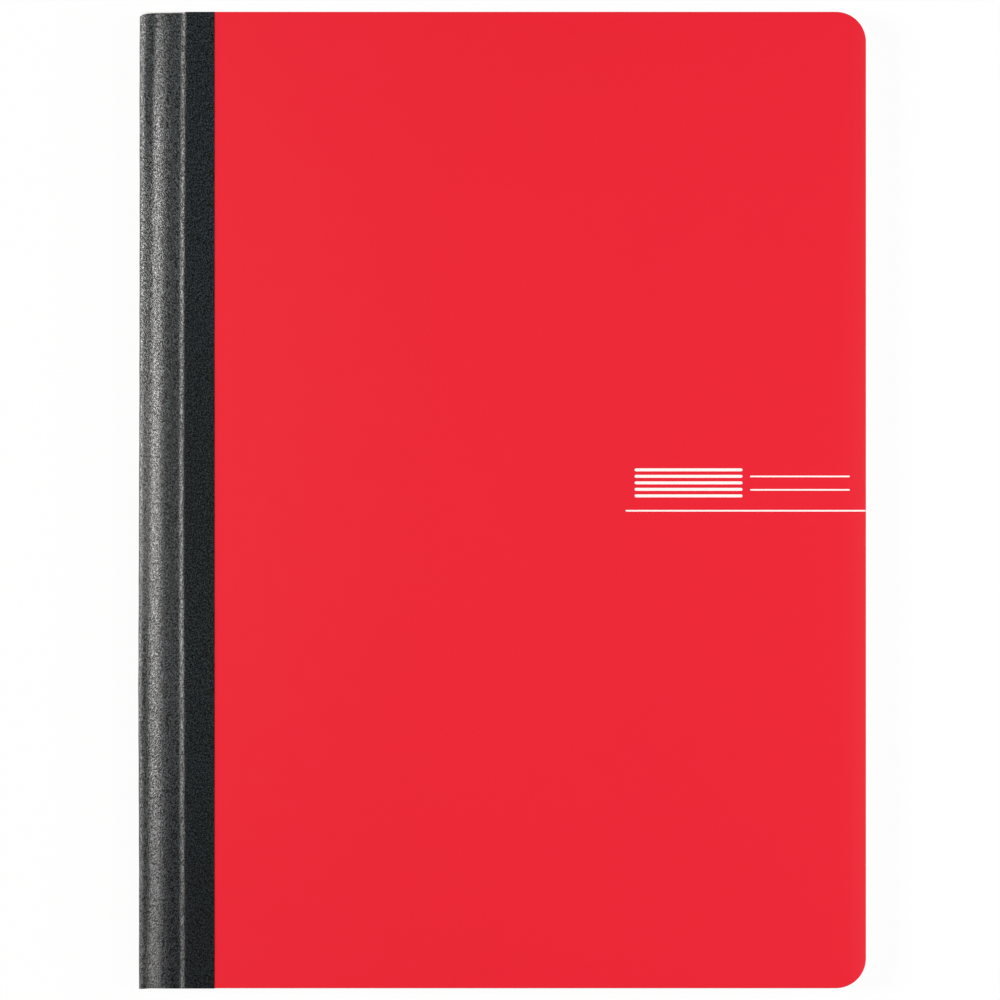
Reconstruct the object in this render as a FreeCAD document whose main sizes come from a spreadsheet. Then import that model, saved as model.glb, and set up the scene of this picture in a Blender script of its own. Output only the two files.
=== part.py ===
import FreeCAD, Part
import math
import os
import Sketcher
from enum import IntEnum
from FreeCAD import Vector

# Composition notebook, closed, lying on its back cover.
# One thick signature of folded sheets is sewn through its fold with a running stitch. The outer leaf is
# pasted to a stiff board on each side. A black tape is folded round the spine and glued on to both boards.
# Each cover swings on the tape, along a crease at its board's edge.
# Every sub-part is drawn from the spine: x runs from the tape's back to the fore-edge, y from tail to head,
# and z is counted from the middle leaf. A placement then brings the origin under the middle of the book.

SIZES = [
    # Trimmed book
    ("book_height", 247.65, "tail to head"),
    ("book_width", 184.15, "back of the spine to the fore-edge"),
    ("corner_radius", 7.6, "rounded corners at the fore-edge"),
    # Thicknesses
    ("block_thickness", 7.8, "eighty leaves, pressed"),
    ("pastedown_thickness", 0.12, "outer leaf, pasted to the board"),
    ("board_thickness", 0.9, "laminated cover board"),
    ("tape_thickness", 0.3, "spine tape"),
    ("tape_bite", 0.1, "how deep the tape is pressed into the board"),
    # Spine section: distances from the back of the spine, and drops below the flat of the block
    ("spine_drop", 1.55, "drop where the back turns into the shoulder"),
    ("spine_roll", 1.5, "radius of that turn"),
    ("shoulder_reach", 3.4, "where the shoulder ends"),
    ("shoulder_drop", 1.3, "drop there"),
    ("shoulder_curve", 2.5, "radius of the hollow there"),
    ("swell_reach", 5.6, "where the leaves have swelled out"),
    ("swell_drop", 0.3, "drop there"),
    ("swell_curve", 9.0, "radius of the swell"),
    # Hinge
    ("hinge_setback", 11.4, "back of the spine to the board's edge"),
    ("joint_width", 1.7, "slope of the tape up on to the board"),
    ("joint_curve", 1.1, "radius at the foot of that slope"),
    ("tape_reach", 19.4, "back of the spine to the tape's edge"),
    # Sewing
    ("stitch_length", 6.75, "one stitch, outside or inside the fold"),
    ("stitch_start", 6.05, "lowest place where the thread comes out of the fold"),
    ("thread_width", 0.5, "sewing thread, drawn flat"),
    ("thread_gap", 0.05, "between the thread and its channel"),
    # Print on the front board
    ("print_depth", 0.08, "ink and lacquer sunk in the board"),
    ("rule_length", 61.0, "fine rule that runs out at the fore-edge"),
    ("rule_level", 121.1, "height of the rule above the tail"),
    ("rule_width", 0.4, "thickness of the rule"),
    ("bar_inset", 2.3, "start of the bars after the rule's start"),
    ("bar_rise", 3.4, "lowest bar above the rule"),
    ("bar_length", 27.4, "long bars"),
    ("bar_width", 0.75, "thickness of a bar"),
    ("bar_pitch", 1.65, "from one bar to the next"),
    ("line_gap", 1.9, "bars to the two fine lines"),
    ("line_rise", 5.1, "lower fine line above the rule"),
    ("line_length", 25.3, "fine lines"),
    ("line_width", 0.4, "thickness of a fine line"),
    ("line_pitch", 3.4, "from one fine line to the next"),
]
BAR_COUNT = 5
LINE_COUNT = 2
FRONT = 1
BACK = -1
TINY = 1e-6


class At(IntEnum):
    """How a sketch numbers its two axes, and the points of a line or an arc."""

    Y_AXIS = -2
    X_AXIS = -1
    START = 1
    END = 2
    CENTRE = 3


# Heights above the middle leaf, and places along the book, that several sub-parts share
BLOCK_HALF = "Sizes.block_thickness / 2"
SPINE_HALF = f"{BLOCK_HALF} - Sizes.spine_drop"
SHOULDER_HALF = f"{BLOCK_HALF} - Sizes.shoulder_drop"
SWELL_HALF = f"{BLOCK_HALF} - Sizes.swell_drop"
BOARD_INNER = f"{BLOCK_HALF} + Sizes.pastedown_thickness"
BOARD_OUTER = f"{BOARD_INNER} + Sizes.board_thickness"
WING_INNER = f"{BOARD_OUTER} - Sizes.tape_bite"
WING_OUTER = f"{WING_INNER} + Sizes.tape_thickness"
JOINT_FOOT = "Sizes.hinge_setback - Sizes.joint_width"
RULE_START = "Sizes.book_width - Sizes.rule_length"

# Stitches: each period is one stitch outside the fold and one inside it. The seam is sewn past both ends of
# the book before it is trimmed, so it starts one period low, and the trim cuts the thread off.
CHANNEL_HALF = "(Sizes.thread_width / 2 + Sizes.thread_gap)"
THREAD_HALF = "Sizes.thread_width / 2"
OUTER_RUN = f"Sizes.tape_thickness + {CHANNEL_HALF}"
INNER_RUN = f"Sizes.tape_thickness + {BLOCK_HALF} + {CHANNEL_HALF}"
PERIOD = "(2 * Sizes.stitch_length)"
FIRST_STITCH = f"Sizes.stitch_start - {PERIOD}"
PERIOD_COUNT = f"floor((Sizes.book_height - Sizes.stitch_start) / {PERIOD}) + 2"

doc = FreeCAD.newDocument("composition_notebook")
sheet = doc.addObject("Spreadsheet::Sheet", "Sizes")


def fill_sheet():
    """Driving dimensions in millimetres: a note in column A, the number in column B."""
    for row, (name, size, note) in enumerate(SIZES, start=1):
        sheet.set(f"A{row}", note)
        sheet.set(f"B{row}", str(size))
        sheet.setAlias(f"B{row}", name)
    doc.recompute()


def value(expression):
    """The number that an expression on the sheet gives."""
    return float(sheet.evalExpression(expression))


def bind(feature, **expressions):
    """Ties properties to expressions; a double underscore stands for the dot in a property's path."""
    for path, expression in expressions.items():
        feature.setExpression(path.replace("__", "."), expression)


def in_frame(feature):
    """Moves a sub-part from the spine's own axes to the book's, with the lowest face at height zero."""
    bind(
        feature,
        Placement__Base__x="-Sizes.book_width / 2",
        Placement__Base__y="-Sizes.book_height / 2",
        Placement__Base__z=WING_OUTER,
    )


def new_body(name):
    body = doc.addObject("PartDesign::Body", name)
    body.Label = name
    in_frame(body)
    return body


def origin_plane(body, role):
    return next(f for f in body.Origin.OriginFeatures if f.Role == role)


def new_sketch(body, name, role, level=None):
    """A sketch on one of the body's own origin planes, lifted by the expression level."""
    sketch = body.newObject("Sketcher::SketchObject", name)
    sketch.AttachmentSupport = [(origin_plane(body, role), "")]
    sketch.MapMode = "FlatFace"
    if level:
        bind(sketch, AttachmentOffset__Base__z=level)
    return sketch


def constrain(sketch, kind, *references):
    return sketch.addConstraint(Sketcher.Constraint(kind, *references))


def fix_coordinate(sketch, kind, geometry, position, expression):
    """Ties one coordinate of a point to an expression, or puts the point on the axis where that is zero."""
    size = value(expression)
    if abs(size) < TINY:
        axis = At.Y_AXIS if kind == "DistanceX" else At.X_AXIS
        constrain(sketch, "PointOnObject", geometry, position, axis)
        return
    number = constrain(sketch, kind, At.X_AXIS, At.START, geometry, position, size)
    sketch.setExpression(f"Constraints[{number}]", expression)


def fix_point(sketch, geometry, position, x, y):
    fix_coordinate(sketch, "DistanceX", geometry, position, x)
    fix_coordinate(sketch, "DistanceY", geometry, position, y)


def fix_radius(sketch, arc, expression):
    number = constrain(sketch, "Radius", arc, value(expression))
    sketch.setExpression(f"Constraints[{number}]", expression)


def tangent_arc(before, corner, after, radius):
    """Ends of a tangent arc on the two legs of a corner, its centre, and whether it turns left."""
    arriving = (corner - before).normalize()
    leaving = (after - corner).normalize()
    turn = math.acos(max(-1.0, min(1.0, arriving.dot(leaving))))
    cut = radius * math.tan(turn / 2)
    left = arriving.cross(leaving).z > 0
    side = Vector(-arriving.y, arriving.x, 0) * (1 if left else -1)
    start = corner - arriving * cut
    end = corner + leaving * cut
    return start, end, start + side * radius, left


def add_arc(sketch, centre, radius, start, end, left):
    """Adds the arc from start to end. Sketch arcs run anticlockwise, so a right turn is added backwards."""
    first, last = (start, end) if left else (end, start)
    angles = [math.atan2(p.y - centre.y, p.x - centre.x) for p in (first, last)]
    circle = Part.Circle(centre, Vector(0, 0, 1), radius)
    arc = sketch.addGeometry(Part.ArcOfCircle(circle, angles[0], angles[1]), False)
    return arc, (At.START, At.END) if left else (At.END, At.START)


def draw_chain(sketch, corners, closed):
    """Straight legs through corners (x, y, radius or None), with a tangent arc at each rounded corner.
    Returns the legs and, by the corner's number, each arc with its centre and turn."""
    points = [Vector(value(x), value(y), 0) for x, y, _ in corners]
    count = len(corners)
    bends = {}
    for i, (_, _, radius) in enumerate(corners):
        if radius:
            bends[i] = tangent_arc(points[i - 1], points[i], points[(i + 1) % count], value(radius))
    legs = []
    for i in range(count if closed else count - 1):
        j = (i + 1) % count
        start = bends[i][1] if i in bends else points[i]
        end = bends[j][0] if j in bends else points[j]
        legs.append(sketch.addGeometry(Part.LineSegment(start, end), False))
    arcs = {}
    for i, (x, y, radius) in enumerate(corners):
        if radius:
            _, _, centre, left = bends[i]
            arc = round_corner(sketch, legs[i - 1], legs[i], radius, bends[i])
            corner = sketch.addGeometry(Part.Point(points[i]), True)
            fix_point(sketch, corner, At.START, x, y)
            constrain(sketch, "PointOnObject", corner, At.START, legs[i - 1])
            constrain(sketch, "PointOnObject", corner, At.START, legs[i])
            arcs[i] = (arc, centre, left)
        elif i == count - 1 and not closed:
            fix_point(sketch, legs[-1], At.END, x, y)
        else:
            fix_point(sketch, legs[i], At.START, x, y)
            if closed or i > 0:
                constrain(sketch, "Coincident", legs[i - 1], At.END, legs[i], At.START)
    return legs, arcs


def round_corner(sketch, before, after, radius, bend):
    """Joins the ends of two legs with an arc that is tangent to both."""
    start, end, centre, left = bend
    arc, (entry, leaving) = add_arc(sketch, centre, value(radius), start, end, left)
    constrain(sketch, "Tangent", before, At.END, arc, entry)
    constrain(sketch, "Tangent", after, At.START, arc, leaving)
    fix_radius(sketch, arc, radius)
    return arc


def draw_band(sketch, corners, thickness, outer_end):
    """A band of one thickness on the left of an open chain, which starts upright on the x axis. Its outer
    arcs share the inner arcs' centres, and its outer side ends at the point outer_end."""
    inner_legs, inner_arcs = draw_chain(sketch, corners, closed=False)
    inner = sketch.Geometry
    wall = value(thickness)
    end_point = Vector(value(outer_end[0]), value(outer_end[1]), 0)
    outer_legs = []
    for number, leg in enumerate(inner_legs):
        start, end = inner[leg].StartPoint, inner[leg].EndPoint
        along = (end - start).normalize()
        shift = Vector(-along.y, along.x, 0) * wall
        last = number == len(inner_legs) - 1
        line = Part.LineSegment(start + shift, end_point if last else end + shift)
        outer_legs.append(sketch.addGeometry(line, False))
    for i, (arc, centre, left) in inner_arcs.items():
        growth = "-" if left else "+"
        radius = f"{corners[i][2]} {growth} {thickness}"
        before, after = outer_legs[i - 1], outer_legs[i]
        ends = sketch.Geometry[before].EndPoint, sketch.Geometry[after].StartPoint
        outer_arc = round_corner(sketch, before, after, radius, (*ends, centre, left))
        constrain(sketch, "Coincident", arc, At.CENTRE, outer_arc, At.CENTRE)
    constrain(sketch, "Vertical", outer_legs[0])
    constrain(sketch, "PointOnObject", outer_legs[0], At.START, At.X_AXIS)
    fix_point(sketch, outer_legs[-1], At.END, *outer_end)
    close_band(sketch, inner_legs[0], outer_legs[0], At.START)
    close_band(sketch, inner_legs[-1], outer_legs[-1], At.END)


def close_band(sketch, inner_leg, outer_leg, position):
    """A short line across the band, from one leg's start or end to the other's."""
    point = "StartPoint" if position == At.START else "EndPoint"
    ends = [getattr(sketch.Geometry[leg], point) for leg in (inner_leg, outer_leg)]
    line = sketch.addGeometry(Part.LineSegment(*ends), False)
    constrain(sketch, "Coincident", line, At.START, inner_leg, position)
    constrain(sketch, "Coincident", line, At.END, outer_leg, position)


def pad(body, name, sketch, length, side=FRONT, symmetric=False):
    feature = body.newObject("PartDesign::Pad", name)
    feature.Profile = sketch
    feature.SideType = "Symmetric" if symmetric else "One side"
    feature.Reversed = side == BACK
    bind(feature, Length=length)
    return feature


def pocket(body, name, sketch, depth, side=FRONT, symmetric=False):
    """Cuts the sketch into the body, and stops the script if nothing was cut away."""
    doc.recompute()
    before = body.Shape.Volume
    feature = body.newObject("PartDesign::Pocket", name)
    feature.Profile = sketch
    feature.SideType = "Symmetric" if symmetric else "One side"
    feature.Reversed = side == BACK
    bind(feature, Length=depth)
    doc.recompute()
    if body.Shape.Volume > before - TINY:
        raise RuntimeError(f"{body.Label}: {name} cuts nothing")
    return feature


def mirror_thickness(body, name, feature):
    """The back half of a section whose front half is drawn above the middle leaf."""
    mirrored = body.newObject("PartDesign::Mirrored", name)
    mirrored.Originals = [feature]
    mirrored.MirrorPlane = (origin_plane(body, "XY_Plane"), [""])
    body.Tip = mirrored
    doc.recompute()
    return mirrored


def repeat_stitches(body, name, feature):
    """The rest of the stitches, from tail to head."""
    pattern = body.newObject("PartDesign::LinearPattern", name)
    pattern.Originals = [feature]
    pattern.Direction = (origin_plane(body, "Y_Axis"), [""])
    pattern.Mode = "Spacing"
    bind(pattern, Offset=PERIOD, Occurrences=PERIOD_COUNT)
    body.Tip = pattern
    doc.recompute()
    return pattern


def spine_section(foot_radius):
    """Corners of the section under the tape, from the middle leaf round to the foot of the board."""
    return [
        ("Sizes.tape_thickness", "0", None),
        ("Sizes.tape_thickness", SPINE_HALF, "Sizes.spine_roll"),
        ("Sizes.shoulder_reach", SHOULDER_HALF, "Sizes.shoulder_curve"),
        ("Sizes.swell_reach", SWELL_HALF, "Sizes.swell_curve"),
        (JOINT_FOOT, BLOCK_HALF, foot_radius),
    ]


def leaf_outline(start):
    """Plan of a leaf or board from x = start to the rounded fore-edge."""
    return [
        (start, "0", None),
        ("Sizes.book_width", "0", "Sizes.corner_radius"),
        ("Sizes.book_width", "Sizes.book_height", "Sizes.corner_radius"),
        (start, "Sizes.book_height", None),
    ]


def stitch_outline(half):
    """Plan of one stitch period, half wide on each side of the thread's line: along the back of the fold,
    through it, along the middle opening, and back out."""
    outer, inner = OUTER_RUN, INNER_RUN
    first = FIRST_STITCH
    second = f"{first} + Sizes.stitch_length"
    third = f"{first} + {PERIOD}"
    return [
        (f"{outer} - {half}", f"{first} - {half}", None),
        (f"{outer} + {half}", f"{first} - {half}", None),
        (f"{outer} + {half}", f"{second} - {half}", None),
        (f"{inner} + {half}", f"{second} - {half}", None),
        (f"{inner} + {half}", f"{third} + {half}", None),
        (f"{outer} - {half}", f"{third} + {half}", None),
        (f"{outer} - {half}", f"{third} - {half}", None),
        (f"{inner} - {half}", f"{third} - {half}", None),
        (f"{inner} - {half}", f"{second} + {half}", None),
        (f"{outer} - {half}", f"{second} + {half}", None),
    ]


def print_bars():
    """Lower left corner, length and width of each printed bar on the front board."""
    bars_start = f"{RULE_START} + Sizes.bar_inset"
    lines_start = f"{bars_start} + Sizes.bar_length + Sizes.line_gap"
    rule_foot = "Sizes.rule_level - Sizes.rule_width / 2"
    bars = [("rule", RULE_START, rule_foot, "Sizes.rule_length", "Sizes.rule_width")]
    for i in range(BAR_COUNT):
        foot = f"Sizes.rule_level + Sizes.bar_rise + {i} * Sizes.bar_pitch"
        bars.append((f"bar_{i + 1}", bars_start, foot, "Sizes.bar_length", "Sizes.bar_width"))
    for i in range(LINE_COUNT):
        foot = f"Sizes.rule_level + Sizes.line_rise + {i} * Sizes.line_pitch"
        bars.append((f"line_{i + 1}", lines_start, foot, "Sizes.line_length", "Sizes.line_width"))
    return bars


def make_page_block():
    """The folded, sewn and trimmed signature, with the channel that its thread lies in."""
    body = new_body("page_block")
    section = new_sketch(body, "block_section", "XZ_Plane")
    corners = spine_section(None) + [
        ("Sizes.book_width", BLOCK_HALF, None),
        ("Sizes.book_width", "0", None),
    ]
    draw_chain(section, corners, closed=True)
    half = pad(body, "front_half", section, "Sizes.book_height", side=BACK)
    whole = mirror_thickness(body, "back_half", half)
    rounded = body.newObject("PartDesign::Fillet", "fore_edge_corners")
    rounded.Base = (whole, fore_edge_corners(whole.Shape))
    bind(rounded, Radius="Sizes.corner_radius")
    body.Tip = rounded
    channel = new_sketch(body, "stitch_channel", "XY_Plane")
    draw_chain(channel, stitch_outline(CHANNEL_HALF), closed=True)
    cut = pocket(body, "first_channel", channel, f"2 * {CHANNEL_HALF}", symmetric=True)
    repeat_stitches(body, "channels", cut)
    return body


def fore_edge_corners(shape):
    """Names of the upright edges at the fore-edge, where the trimmed corners are rounded."""
    width = value("Sizes.book_width")
    names = []
    for number, edge in enumerate(shape.Edges, start=1):
        ends = [v.Point for v in edge.Vertexes]
        if len(ends) != 2 or abs(ends[0].y - ends[1].y) > TINY:
            continue
        if all(abs(p.x - width) < TINY for p in ends):
            names.append(f"Edge{number}")
    return names


def make_sewing_thread():
    """Thread that runs out and in through the fold of the whole signature."""
    body = new_body("sewing_thread")
    line = new_sketch(body, "stitch", "XY_Plane")
    draw_chain(line, stitch_outline(THREAD_HALF), closed=True)
    stitch = pad(body, "first_stitch", line, "Sizes.thread_width", symmetric=True)
    repeat_stitches(body, "stitches", stitch)
    waste = new_sketch(body, "waste_ends", "XY_Plane")
    for foot, top in (
        (f"-{PERIOD}", "0"),
        ("Sizes.book_height", f"Sizes.book_height + {PERIOD}"),
    ):
        draw_chain(waste, rectangle("0", foot, "Sizes.book_width", top), closed=True)
    pocket(body, "trim", waste, "2 * Sizes.thread_width", symmetric=True)
    return body


def make_spine_tape():
    """The tape from one hinge crease to the other, glued round the fold."""
    body = new_body("spine_tape")
    section = new_sketch(body, "tape_section", "XZ_Plane")
    corners = spine_section("Sizes.joint_curve") + [("Sizes.hinge_setback", WING_INNER, None)]
    draw_band(section, corners, "Sizes.tape_thickness", ("Sizes.hinge_setback", WING_OUTER))
    half = pad(body, "front_half", section, "Sizes.book_height", side=BACK)
    mirror_thickness(body, "back_half", half)
    return body


def signed(side, expression):
    return expression if side == FRONT else f"-({expression})"


def make_plate(name, corners, level, thickness, side):
    """A flat sub-part that lies level above the middle leaf, or as far below it on the back."""
    body = new_body(name)
    plan = new_sketch(body, f"{name}_plan", "XY_Plane", signed(side, level))
    draw_chain(plan, corners, closed=True)
    pad(body, f"{name}_pad", plan, thickness, side=side)
    return body


def make_board(name, side):
    """Cover board, pressed down where the tape lies on it."""
    outline = leaf_outline("Sizes.hinge_setback")
    body = make_plate(name, outline, BOARD_INNER, "Sizes.board_thickness", side)
    bed = new_sketch(body, f"{name}_tape_bed", "XY_Plane", signed(side, BOARD_OUTER))
    draw_chain(bed, tape_strip(), closed=True)
    pocket(body, f"{name}_tape_bite", bed, "Sizes.tape_bite", side=side)
    return body


def rectangle(left, foot, right, top):
    """Sharp-cornered plan between two opposite corners."""
    return [(left, foot, None), (right, foot, None), (right, top, None), (left, top, None)]


def tape_strip():
    """Plan of the tape's glued edge, from the hinge crease on to the board."""
    return rectangle("Sizes.hinge_setback", "0", "Sizes.tape_reach", "Sizes.book_height")


def make_front_board():
    """The printed board: its rule, bars and lines are sunk in its face."""
    body = make_board("front_board", FRONT)
    beds = new_sketch(body, "print_beds", "XY_Plane", BOARD_OUTER)
    for _, x, y, length, width in print_bars():
        draw_chain(beds, rectangle(x, y, f"{x} + {length}", f"{y} + {width}"), closed=True)
    pocket(body, "print_recess", beds, "Sizes.print_depth")
    return body


def make_cover_print():
    """White ink that fills the recesses flush with the board's face."""
    bars = []
    for name, x, y, length, width in print_bars():
        bar = doc.addObject("Part::Box", f"print_{name}")
        bind(
            bar,
            Length=length,
            Width=width,
            Height="Sizes.print_depth",
            Placement__Base__x=x,
            Placement__Base__y=y,
            Placement__Base__z=f"{BOARD_OUTER} - Sizes.print_depth",
        )
        bars.append(bar)
    printed = doc.addObject("Part::Compound", "cover_print")
    printed.Label = "cover_print"
    printed.Links = bars
    in_frame(printed)
    return printed


def make_cover(prefix, side, board):
    """One cover: its board, the leaf pasted inside it and the tape's edge glued on its face."""
    leaf = leaf_outline("Sizes.hinge_setback")
    paper = "Sizes.pastedown_thickness"
    pastedown = make_plate(f"{prefix}_pastedown", leaf, BLOCK_HALF, paper, side)
    tape = "Sizes.tape_thickness"
    wing = make_plate(f"{prefix}_tape_wing", tape_strip(), WING_INNER, tape, side)
    return [board, pastedown, wing]


def check(parts):
    """Stops the script if any object failed, or if a sub-part has no sound solid."""
    for item in doc.Objects:
        if {"Invalid", "Error"} & set(item.State):
            raise RuntimeError(f"{item.Name} failed: {item.State}")
    for part in parts:
        if part.Shape.isNull() or not part.Shape.isValid() or not part.Shape.Solids:
            raise RuntimeError(f"{part.Label} has no valid solid")


def export(parts):
    os.makedirs("parts", exist_ok=True)
    for part in parts:
        part.Shape.exportStep(f"parts/{part.Label}.step")
        box = part.Shape.BoundBox
        print(
            f"{part.Label}: {len(part.Shape.Solids)} solid(s), {part.Shape.Volume:.1f} mm3,"
            f" {box.XLength:.2f} x {box.YLength:.2f} x {box.ZLength:.2f} mm"
        )


def main():
    fill_sheet()
    parts = [make_page_block(), make_sewing_thread(), make_spine_tape()]
    parts += make_cover("front", FRONT, make_front_board())
    parts.append(make_cover_print())
    parts += make_cover("back", BACK, make_board("back_board", BACK))
    doc.recompute()
    check(parts)
    export(parts)


main()
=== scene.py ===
# %% [markdown]
# # A composition notebook, closed, seen from straight above
#
# The notebook is a thick fold of ruled sheets between two stiff red boards, with a black tape round the
# spine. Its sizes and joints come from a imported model, which is loaded first and never moved. This lesson
# gives each piece its look: tape with a pressed grain, laminated board, printed bars, eighty leaves and a
# sewing thread.

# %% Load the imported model
import math

import bmesh
import bpy
import numpy as np
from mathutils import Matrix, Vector


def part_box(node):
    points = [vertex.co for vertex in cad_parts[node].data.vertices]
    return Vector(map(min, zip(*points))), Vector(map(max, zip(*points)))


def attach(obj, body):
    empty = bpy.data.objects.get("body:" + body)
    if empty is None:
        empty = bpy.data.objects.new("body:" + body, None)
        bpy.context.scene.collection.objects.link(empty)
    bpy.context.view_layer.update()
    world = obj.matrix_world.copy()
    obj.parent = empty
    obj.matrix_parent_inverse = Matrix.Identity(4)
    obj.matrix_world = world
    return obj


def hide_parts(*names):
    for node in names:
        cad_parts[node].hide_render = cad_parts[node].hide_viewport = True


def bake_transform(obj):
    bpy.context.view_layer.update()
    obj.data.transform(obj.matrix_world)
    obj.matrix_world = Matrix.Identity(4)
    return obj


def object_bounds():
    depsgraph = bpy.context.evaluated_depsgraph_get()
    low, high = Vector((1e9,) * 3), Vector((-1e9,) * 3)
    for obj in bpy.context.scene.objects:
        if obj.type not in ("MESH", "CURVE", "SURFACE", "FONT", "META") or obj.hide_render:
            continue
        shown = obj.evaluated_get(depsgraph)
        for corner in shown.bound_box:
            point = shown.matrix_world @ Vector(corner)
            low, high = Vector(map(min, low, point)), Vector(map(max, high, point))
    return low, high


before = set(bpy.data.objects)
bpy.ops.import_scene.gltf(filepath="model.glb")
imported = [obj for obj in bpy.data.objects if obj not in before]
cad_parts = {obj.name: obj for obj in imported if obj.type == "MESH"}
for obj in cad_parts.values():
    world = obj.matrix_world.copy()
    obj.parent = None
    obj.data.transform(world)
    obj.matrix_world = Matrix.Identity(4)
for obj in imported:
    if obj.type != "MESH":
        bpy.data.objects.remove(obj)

cad_low, cad_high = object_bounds()
print("model:", [round(v * 1000, 2) for v in cad_high - cad_low], "mm")

# %% [markdown]
# Every size below is read from the model where the model has it, so the looks follow when a size changes
# there. The model lies on its back cover: x runs from the spine to the fore-edge, y from the tail to the
# head, z up.

# %% Read the main sizes from the model
MM = 0.001
SPINE, TAIL, FLOOR = cad_low
FORE_EDGE, HEAD, TOP = cad_high
MIDDLE = (FLOOR + TOP) / 2
BLOCK_LOW, BLOCK_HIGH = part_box("page_block")
BOARD_LOW, BOARD_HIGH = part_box("front_board")
WING_LOW, WING_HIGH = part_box("front_tape_wing")
LEAF_LOW, LEAF_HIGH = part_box("front_pastedown")
THREAD_LOW, THREAD_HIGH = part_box("sewing_thread")

tape_thickness = BLOCK_LOW.x - SPINE
hinge = BOARD_LOW.x - SPINE
tape_reach = WING_HIGH.x - SPINE
block_half = (BLOCK_HIGH.z - BLOCK_LOW.z) / 2
top_half = TOP - MIDDLE
tape_rise = TOP - BOARD_HIGH.z
board_corners = [v.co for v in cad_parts["front_board"].data.vertices]
straight_edge_start = min(c.y for c in board_corners if c.x > FORE_EDGE - 0.001 * MM)
corner_radius = straight_edge_start - TAIL
print(f"hinge {hinge / MM:.2f}, tape reach {tape_reach / MM:.2f}, corner {corner_radius / MM:.2f} mm")

# %% [markdown]
# The camera looks straight down, as the photograph does. A very long lens keeps the parallax small, as on a
# copy stand: the low edge of the spine moves in by less than a fifth of a millimetre. The width of the view
# and the book's place in it come from where the book's head, tail and fore-edge stand in the picture.

# %% Camera
VIEW_WIDTH = 253.62 * MM
LENS = 400.0
SENSOR = 36.0
PICTURE_SHIFT_X = -0.75 * MM


def add_object(name, data):
    """A new object in the scene that shows this data."""
    made = bpy.data.objects.new(name, data)
    bpy.context.scene.collection.objects.link(made)
    return made


def make_camera():
    data = bpy.data.cameras.new("copy_stand_camera")
    data.lens = LENS
    data.sensor_width = SENSOR
    camera = add_object("copy_stand_camera", data)
    distance = VIEW_WIDTH * LENS / SENSOR
    camera.location = (PICTURE_SHIFT_X, 0.0, TOP + distance)
    data.clip_start = distance / 100
    data.clip_end = distance * 10
    bpy.context.scene.camera = camera
    return camera


camera = make_camera()
bpy.context.scene.view_settings.view_transform = "Standard"
print(f"camera {camera.location.z:.3f} m up, lens {LENS} mm")

# %% [markdown]
# Materials here are node trees written by hand. These helpers keep them short: one starts a tree with its
# Principled shader, and the others add a node, join it to what feeds it and give back its output. Patterns
# read Object coordinates. Every piece sits at the origin unturned, so these are the model's own metres.

# %% Helpers for node trees
def new_material(name, **sockets):
    """A material with a Principled shader; the keywords set that shader's own sockets."""
    material = bpy.data.materials.new(name)
    material.use_nodes = True
    shader = material.node_tree.nodes["Principled BSDF"]
    for socket, value in sockets.items():
        shader.inputs[socket.replace("_", " ")].default_value = value
    return material, shader


def add_node(tree, kind, inputs=(), **settings):
    """Adds a node, sets its properties, and fills its inputs with values or with other nodes' outputs."""
    node = tree.nodes.new(kind)
    for setting, value in settings.items():
        setattr(node, setting, value)
    for socket, value in dict(inputs).items():
        if isinstance(value, bpy.types.NodeSocket):
            tree.links.new(value, node.inputs[socket])
        else:
            node.inputs[socket].default_value = value
    return node


def place(tree, scale=(1, 1, 1), turn=0.0):
    """Object coordinates, stretched and turned about z."""
    coordinates = add_node(tree, "ShaderNodeTexCoord").outputs["Object"]
    inputs = {"Vector": coordinates, "Scale": scale, "Rotation": (0, 0, turn)}
    return add_node(tree, "ShaderNodeMapping", inputs, vector_type="TEXTURE").outputs["Vector"]


def noise(tree, vector, size, detail=2.0, roughness=0.5):
    """Noise from 0 to 1 whose lumps are about as wide as size, in metres."""
    inputs = {"Vector": vector, "Scale": 1 / size, "Detail": detail, "Roughness": roughness}
    return add_node(tree, "ShaderNodeTexNoise", inputs).outputs["Fac"]


def math_node(tree, operation, first, second=0.0, third=0.0, clamp=False):
    """One sum on numbers or outputs; clamp keeps it between 0 and 1."""
    inputs = {0: first, 1: second, 2: third}
    return add_node(tree, "ShaderNodeMath", inputs, operation=operation, use_clamp=clamp).outputs[0]


def remap(tree, value, low, high, to_low=0.0, to_high=1.0):
    """The value carried smoothly from one range into another."""
    inputs = {"Value": value, "From Min": low, "From Max": high, "To Min": to_low, "To Max": to_high}
    return add_node(tree, "ShaderNodeMapRange", inputs, interpolation_type="SMOOTHSTEP").outputs[0]


def blend_colours(tree, factor, first, second):
    """The first colour at factor 0, the second at 1."""
    inputs = {0: factor, 6: (*first, 1) if isinstance(first, tuple) else first}
    inputs[7] = (*second, 1) if isinstance(second, tuple) else second
    return add_node(tree, "ShaderNodeMix", inputs, data_type="RGBA").outputs[2]


def roughen(material, shader, height, depth):
    """Bump of a real depth in metres."""
    tree = material.node_tree
    bump = add_node(tree, "ShaderNodeBump", {"Height": height, "Distance": depth})
    tree.links.new(bump.outputs["Normal"], shader.inputs["Normal"])


print("helpers ready")
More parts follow.
